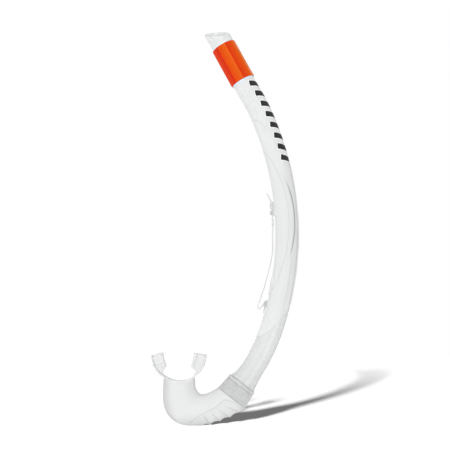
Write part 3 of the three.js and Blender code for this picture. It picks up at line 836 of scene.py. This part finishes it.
def strap_clip():
    """The one-piece clip, whose strip turns round the hairpin from its blade to its foot."""
    strip = ribbon()
    solids = clip_solids()
    cut_stud_hole(strip)
    clip = fused("strap_clip", [strip, *solids], 0.2, 2)
    where = np.array([vertex.co for vertex in clip.data.vertices])
    x, z = ((where - SHIFT) * 1000)[:, [0, 2]].T
    # Painted shade over the whole clip, darker on its latch block and its foot.
    block = span(z, 207, 209, 234, 236)
    foot = smoothstep(39.5, 42, x) * smoothstep(132, 129, z)
    store(clip, "shade_and_streaks", np.maximum(0.1 * block, 0.3 * foot) + 0.2)
    clip = finish_piece(clip, CARRIER_PAINT, "milky_carrier", None, "clip_blade", "clip_foot")
    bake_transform(clip)
    clip.visible_shadow = False
    clip.visible_diffuse = False
    clip.visible_glossy = False
    return clip


def snap_stud():
    """The round stud, turned about a line square to the tube from (radius, distance out) points."""
    profile = [
        (0.001, 13.2), (1.6, 13.2), (1.6, 15.5), (1.75, 15.75), (2.5, 15.85), (2.65, 16.05), (2.6, 16.5),
        (2.2, 16.75), (1.5, 16.9), (1.35, 17.15), (1.2, 17.5), (0.8, 17.75), (0.001, 17.8),
    ]
    turn = np.linspace(0, 2 * math.pi, 48, endpoint=False)
    x, z, lean = centreline(STUD_AT)
    rows = []
    for radius, out in profile:
        up = radius * np.cos(turn)
        y = radius * np.sin(turn)
        across = x - math.cos(lean) * out - math.sin(lean) * up
        height = z - math.sin(lean) * out + math.cos(lean) * up
        rows.append(np.stack([across, y, height], -1))
    stud = grid_mesh("strap_stud", np.stack(rows), weld=True, sharp=50)
    return finish_piece(stud, GREY, "grey_plastic", "barrel", "snap_stud")


# ---------------------------------------------------------------- swivel joint


def connector_collar():
    """The ribbed collar, from (radius, distance along, painted groove shade) points."""
    height, lower, upper, bore = 19.1, 17.5, 15.7, 14.3
    ribs_from, ribs_to, rib_pitch, shade_pitch = 1.5, 14.2, 0.86, 3.4
    segments = 160

    def wall(z):
        return lower + (upper - lower) * z / height

    # Painted shade in the gap at the foot, in the rib valleys with a slower beat, in the groove near the
    # top and lightly at the top.
    profile = [(bore, 0.1, 0.3), (wall(0) - 0.3, 0.1, 0.5)]
    profile += [(wall(0) - 0.2, 0.7, 0.8), (wall(0) - 0.05, 1.1, 0.4)]
    for z in np.linspace(ribs_from, ribs_to, 190):
        phase = 0.5 + 0.5 * math.cos(2 * math.pi * (z - ribs_from) / rib_pitch)
        coarse = 0.5 + 0.5 * math.cos(2 * math.pi * (z - ribs_from) / shade_pitch)
        profile.append((wall(z) - 0.16 * (1 - phase), z, 0.28 * (1 - phase) * (0.6 + 0.4 * coarse)))
    profile += [
        (wall(14.6), 14.45, 0.3), (wall(15) - 0.2, 14.8, 0.65), (wall(15) - 0.2, 15.4, 0.65),
        (wall(15.6) + 0.1, 15.65, 0.0), (wall(16) + 0.22, 16.2, 0.0), (wall(17) + 0.25, 17.0, 0.0),
        (wall(17.8) + 0.15, 17.8, 0.0), (wall(18.3) + 0.05, 18.4, 0.1), (upper - 0.3, 18.8, 0.2),
        (upper - 0.8, height, 0.2), (bore, height, 0.2),
    ]
    collar = turned("swivel_collar", [(radius, z) for radius, z, _ in profile], segments, 70)
    store(collar, "groove_shade", np.repeat([dark for _, _, dark in profile], segments))
    return finish_piece(collar, GREY, "grey_plastic", "swivel", "connector_collar")


def connector_spigot():
    """The hard spigot in the tube's socket, on which the collar turns."""
    profile = [
        (9.4, 0.9), (9.7, 0.6), (11.3, 0.6), (12.4, 1.6), (12.6, 1.9), (12.6, 3.1), (12.3, 3.4),
        (11.7, 3.9), (11.6, 4.2), (11.6, 22.2), (11.4, 22.4), (10.5, 22.5), (10.5, 24.5),
        (11.4, 24.6), (11.6, 24.8), (11.6, 26.0), (11.2, 26.4), (9.7, 26.4), (9.4, 26.1),
    ]
    spigot = turned("spigot_barb", profile, 96)
    return finish_piece(spigot, GREY, "grey_plastic", "barrel", "connector_spigot")


def seal_ring():
    turn = np.linspace(0, 2 * math.pi, 20, endpoint=False)
    profile = [(11.22 + 0.6 * math.cos(t), 23.5 + 0.8 * math.sin(t)) for t in turn]
    seal = turned("o_ring", profile, 96)
    return finish_piece(seal, BLACK_RUBBER, "seal_rubber", "barrel", "seal_ring")


# ---------------------------------------------------------------- elbow

# Edge of the recessed panel under the elbow, and where its finger creases fan out from
PANEL_EDGE = [
    (-39.4, -1.0), (-31.9, 7.3), (-21.3, 13.7), (-10.6, 19.1), (-3.2, 25.0), (0.5, 27.0),
    (10.6, 23.3), (20.2, 16.9), (26.0, 12.0),
]
FAN_X, FAN_Z = -39.5, 35.8
CREASES = [66.0, 54.3, 41.4, 30.6, 21.1, 12.5]


def flange_path():
    """Middle line of the flange, in the plane of the bend."""
    return even_path(FLANGE_PATH, 600)


def neck_top(x):
    """Height of the flange's underside above a point across the neck."""
    path, right, _ = flange_path()
    under = path + right * FLANGE_HALF
    return np.interp(x, under[:, 0], under[:, 1])


def elbow_points(level, angle, inset):
    """Points of the elbow's wall: level runs from the collar (0) to the neck (1)."""
    level, angle = np.broadcast_arrays(level, angle)
    outer = smooth_path(ELBOW_OUTER, level)
    inner = smooth_path(ELBOW_INNER, level)
    depth = np.interp(level, np.linspace(0, 1, len(ELBOW_DEPTH)), ELBOW_DEPTH) - inset
    middle = (outer + inner) / 2
    across = outer - inner
    width = np.linalg.norm(across, axis=-1)
    half = (width / 2 - inset)[..., None] * across / width[..., None]
    turn = np.radians(angle)
    flat = middle + half * np.cos(turn)[..., None]
    return np.stack([flat[..., 0], depth * np.sin(turn), flat[..., 1]], -1)


def to_flange(points, start_row, gap):
    """Stretches the rows from start_row on so that the last one meets the flange."""
    base = points[start_row]
    target = neck_top(points[-1, :, 0]) - gap
    share = np.linspace(0, 1, len(points) - start_row)[:, None]
    points[start_row:, :, 0] = base[:, 0] + (points[-1, :, 0] - base[:, 0]) * share
    points[start_row:, :, 1] = base[:, 1] + (points[-1, :, 1] - base[:, 1]) * share
    points[start_row:, :, 2] = base[:, 2] + (target - base[:, 2]) * share
    return points


def outward(points):
    """Unit normals of a grid of points whose rows close on themselves."""
    along = np.gradient(points, axis=0)
    about = (np.roll(points, -1, 1) - np.roll(points, 1, 1)) / 2
    normal = np.cross(about, along)
    return normal / np.linalg.norm(normal, axis=-1)[..., None]


def elbow_relief(points, angle):
    """Height of the panel and its pleats over the elbow's plain skin, and the painted shade on them and
    on the elbow's lower and outer parts.
    """
    x, z = points[..., 0], points[..., 2]
    edge = smooth_path(PANEL_EDGE, np.linspace(0, 1, 400))
    below = (np.interp(x, edge[:, 0], edge[:, 1]) - z) * 0.85
    below = np.where(x < PANEL_EDGE[0][0], -9, below)
    panel = smoothstep(-0.3, 0.3, below)
    line = stroke(below, 0.1, 0.7) * (x > PANEL_EDGE[0][0])
    fan = np.degrees(np.arctan2(FAN_Z - z, x - FAN_X))
    phase = np.interp(fan, CREASES[::-1], np.arange(len(CREASES))[::-1])
    bulge = np.abs(np.sin(math.pi * phase)) ** 0.8 - 0.5
    under = smoothstep(0.25, 0.8, np.cos(np.radians(angle)))
    fade = span(fan, 12.5, 18, 56, 66) * panel
    crease = np.abs(np.sin(math.pi * phase))
    lift = -0.25 * panel - 0.3 * line + 1.7 * bulge * under * fade
    near = smoothstep(0.15, 0.55, np.cos(np.radians(angle)))
    # Painted shade in the recessed panel, along its edge and in the creases between the pleats.
    shade_and_streaks = 0.05 * panel + 0.28 * line + 0.36 * smoothstep(0.35, 0.0, crease) * near * fade
    # Painted shade on the outer wall near the neck and low on the bottom of the bend.
    shade_and_streaks = shade_and_streaks + 0.3 * smoothstep(0.2, 1.0, np.cos(np.radians(angle))) * smoothstep(-48, -60, x)
    shade_and_streaks = shade_and_streaks + 0.22 * smoothstep(14, 2, z) * smoothstep(-12, -25, x)
    return lift, np.clip(shade_and_streaks, 0, 1)


def elbow_skin():
    """The soft elbow: its outside, its bore and the sleeve that grips the collar."""
    columns, neck_row = 300, 300
    angles = np.linspace(0, 360, columns, endpoint=False)[None, :]
    swing = np.where(angles > 180, angles - 360, angles)
    levels = np.concatenate([np.linspace(0, 0.86, neck_row), np.linspace(0.86, 1, 40)[1:]])
    outer = to_flange(elbow_points(levels[:, None], angles, 0.0), neck_row - 1, 0.1)
    flare = smoothstep(len(levels) - 14, len(levels) - 1, np.arange(len(levels)))[:, None]
    lift, shade_and_streak_values = elbow_relief(outer, swing)
    outer = outer + outward(outer) * (lift + 0.7 * flare**2)[..., None]
    bore_levels = np.linspace(1, 0.02, 90)[::-1, None]
    inner = elbow_points(bore_levels, angles, ELBOW_WALL)
    inner = to_flange(inner, 78, 0.1)[::-1]
    cuff = [
        (12.0, -2.2), (12.0, 0.2), (13.0, 1.2), (13.0, 4.6), (12.0, 5.4), (12.0, 18.0),
        (12.3, 18.4), (13.6, 18.4), (13.9, 18.1), (13.9, 0.05), (17.1, 0.05),
    ]
    sleeve = np.stack([around(radius, angles, s)[0] for radius, s in cuff])
    points = np.concatenate([outer, inner, sleeve])
    elbow = grid_mesh("elbow", points, loop_rows=True, sharp=55)
    plain = np.zeros((len(points) - len(outer), columns))
    store(elbow, "shade_and_streaks", np.concatenate([shade_and_streak_values, plain]))
    lets_light_through(elbow)
    elbow = finish_piece(elbow, SILICONE, "soft_silicone", None, "elbow_cuff", "elbow_bend")
    along = -np.array(JOINTS["elbow_swivel"]["axis"])
    along = np.array([along[0] - 0.6, 0, along[2] + 0.35])
    along /= np.linalg.norm(along)
    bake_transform(elbow)
    return elbow


# ---------------------------------------------------------------- mouthpiece


def oval(half_length, half_depth, power, turn):
    """An ellipse at a power of 2, and squarer above it."""
    along = half_length * signed_power(np.cos(turn), 2 / power)
    return along, half_depth * signed_power(np.sin(turn), 2 / power)


def flange_and_airway():
    """The flange, from its airway round its rim and back, and the stub into the elbow."""
    path, right, at = flange_path()
    total = at[-1]
    neck_at = np.interp(NECK_X, path[:, 0], at)
    turn = np.linspace(0, 2 * math.pi, 200, endpoint=False)
    rows = []

    def on_flange(share, lift):
        """A ring on the flange: share 0 is the airway's edge, 1 the flange's rim."""
        a, b = oval(12.2, 8.3, 2.0, turn)
        c, d = oval(total / 2, FLANGE_DEPTH, 2.5, turn)
        where = (1 - share) * (neck_at + a) + share * (total / 2 + c)
        y = (1 - share) * b + share * d
        x = np.interp(where, at, path[:, 0])
        z = np.interp(where, at, path[:, 1])
        nx = np.interp(where, at, right[:, 0])
        nz = np.interp(where, at, right[:, 1])
        rows.append(np.stack([x - nx * lift, y, z - nz * lift], -1))

    def on_stub(half_length, half_depth, z):
        a, b = oval(half_length, half_depth, 2.0, turn)
        rows.append(np.stack([NECK_X + a, b, np.full(len(turn), z)], -1))

    for share in np.linspace(0, 0.93, 40):
        on_flange(share, FLANGE_HALF)
    for share, lift in [
        (0.95, 0.95), (0.975, 0.95), (0.99, 0.7), (1.0, 0.25),
        (1.0, -0.25), (0.99, -0.7), (0.975, -0.95), (0.95, -0.9),
    ]:
        on_flange(share, lift)
    for share in np.linspace(0.93, 0.12, 36):
        on_flange(share, -FLANGE_HALF)
    for z in (43.6, 42.0, 40.4):
        on_stub(14.0, 10.1, z)
    on_stub(13.6, 9.7, 40.0)
    on_stub(12.5, 8.6, 40.0)
    for z in (40.6, 42.5, 43.8):
        on_stub(12.2, 8.3, z)
    return grid_mesh("mouthpiece", np.stack(rows), loop_rows=True)


def bite_lug(name, outer_edge, inner_edge, bead_end):
    """A bite lug between its edge on the flange and its free edge, with a bead along the latter."""
    v = np.linspace(0, 1, 90)
    outer = smooth_path(outer_edge, v)
    inner = smooth_path(inner_edge, v)
    u = np.linspace(0, 1, 60)
    bead = stroke(u[None, :], 0.84, 0.17) * smoothstep(bead_end, bead_end - 0.06, v)[:, None]
    step = smoothstep(0.36, 0.42, v)[:, None] * smoothstep(0.66, 0.46, v)[:, None]
    rim = np.sqrt(np.clip(1 - smoothstep(0.93, 1.0, u)[None, :] ** 2, 0, 1))
    top = np.sqrt(np.clip(1 - smoothstep(0.05, 0.0, v)[:, None] ** 2, 0.02, 1))
    half = 2.0 + 1.2 * bead + 0.4 * step * smoothstep(0.75, 0.6, u)[None, :]
    half = half * np.maximum(rim, 0.1) * top
    flat = outer[:, None, :] * (1 - u)[None, :, None] + inner[:, None, :] * u[None, :, None]
    front = np.stack([flat[..., 0], -half, flat[..., 1]], -1)
    back = np.stack([flat[..., 0], half, flat[..., 1]], -1)[:, ::-1]
    points = np.concatenate([front, back], 1)
    return grid_mesh(name, capped(points), weld=True)


def mouthpiece():
    """The soft mouthpiece: flange, airway and two bite lugs, fused into one skin."""
    left = bite_lug(
        "lug_left",
        [(-77.0, 71.6), (-75.0, 65.5), (-72.6, 59.2), (-68.8, 54.4), (-64.8, 51.0)],
        [(-64.9, 75.2), (-63.0, 67.5), (-61.2, 60.2), (-64.2, 56.2), (-64.6, 52.0)],
        0.52,
    )
    right = bite_lug(
        "lug_right",
        [(-19.9, 72.8), (-20.9, 65.1), (-23.4, 59.4), (-27.4, 54.2), (-32.0, 50.2)],
        [(-32.0, 74.6), (-33.6, 67.5), (-35.3, 60.2), (-31.7, 56.2), (-31.9, 51.6)],
        0.52,
    )
    whole = lets_light_through(fused("mouthpiece", [flange_and_airway(), left, right], 0.34, 3))
    return finish_piece(whole, SILICONE_LESS_EDGE_SHADE, "soft_silicone", "mouth", "mouthpiece")


# ---------------------------------------------------------------- stage


def floor():
    """A large floor of mid-grey paint, which its own lamp brings to white."""
    size = 12.0
    mesh = bpy.data.meshes.new("floor")
    corners = [(-size, -size, 0), (size, -size, 0), (size, size, 0), (-size, size, 0)]
    mesh.from_pydata(corners, [], [(0, 1, 2, 3)])
    made = bpy.data.objects.new("floor", mesh)
    bpy.context.scene.collection.objects.link(made)
    paint, tree, shader = new_material("floor_paint")
    base = ramp(tree, noise(tree, 300, 3), [(0.3, (0.215,)), (0.7, (0.22,))])
    tree.links.new(base, shader.inputs["Base Color"])
    shader.inputs["Roughness"].default_value = 0.9
    shader.inputs["Specular IOR Level"].default_value = 0.0
    made.data.materials.append(paint)
    made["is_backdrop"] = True
    return made


def lamp(name, kind, energy, towards, **settings):
    """A lamp that shines along a direction."""
    data = bpy.data.lights.new(name, kind)
    data.energy = energy
    for key, value in settings.items():
        setattr(data, key, value)
    made = bpy.data.objects.new(name, data)
    made.rotation_mode = "QUATERNION"
    made.rotation_quaternion = Vector(towards).to_track_quat("-Z", "Y")
    bpy.context.scene.collection.objects.link(made)
    return made


def lights(ground):
    """A pale surround, a soft light for the object only and a low sun for the floor only."""
    world = bpy.data.worlds.new("surround")
    world.use_nodes = True
    tree = world.node_tree
    tree.nodes.clear()
    seen = node(tree, "Background", inputs={"Color": (1, 1, 1, 1), "Strength": 1.0})
    where = node(tree, "TexCoord").outputs["Generated"]
    side = node(tree, "SeparateXYZ", inputs={"Vector": where}).outputs
    shade = ramp(tree, ranged(tree, side["X"], 0.0, 1.0), [(0.0, (1.0,)), (1.0, (0.82,))])
    lit = node(tree, "Background", inputs={"Color": shade, "Strength": 0.80})
    camera_ray = node(tree, "LightPath").outputs["Is Camera Ray"]
    mixed = node(tree, "MixShader", inputs={0: camera_ray, 1: lit.outputs[0], 2: seen.outputs[0]})
    node(tree, "OutputWorld", inputs={"Surface": mixed.outputs[0]})
    bpy.context.scene.world = world
    key = lamp("key", "SUN", 0.75, (0.5, 1.9, -1.0), angle=math.radians(35))
    sun = lamp("floor_light", "SUN", 92.0, (1.45, 7.0, -1.0), angle=math.radians(3.0))
    only_floor = bpy.data.collections.new("floor_only")
    only_floor.objects.link(ground)
    sun.light_linking.receiver_collection = only_floor
    rest = bpy.data.collections.new("object_only")
    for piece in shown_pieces():
        rest.objects.link(piece)
    key.light_linking.receiver_collection = rest


def camera():
    """At the photograph's viewing angle: about a metre away, a little above the floor."""
    data = bpy.data.cameras.new("camera")
    data.lens = 75.1
    data.sensor_width = 36
    made = bpy.data.objects.new("camera", data)
    made.location = (SHIFT[0], -0.9912, 0.0771)
    target = Vector((SHIFT[0], 0, 0.2094))
    made.rotation_mode = "QUATERNION"
    made.rotation_quaternion = (target - made.location).to_track_quat("-Z", "Y")
    bpy.context.scene.collection.objects.link(made)
    bpy.context.scene.camera = made


# ---------------------------------------------------------------- assembly

barrel_tube()
reflective_tape()
hi_vis_sleeve()
printed_row()
carrier_sheath()
strap_clip()
snap_stud()
connector_collar()
connector_spigot()
seal_ring()
elbow_skin()
mouthpiece()
lights(floor())
camera()
bpy.context.scene.view_settings.view_transform = "Standard"
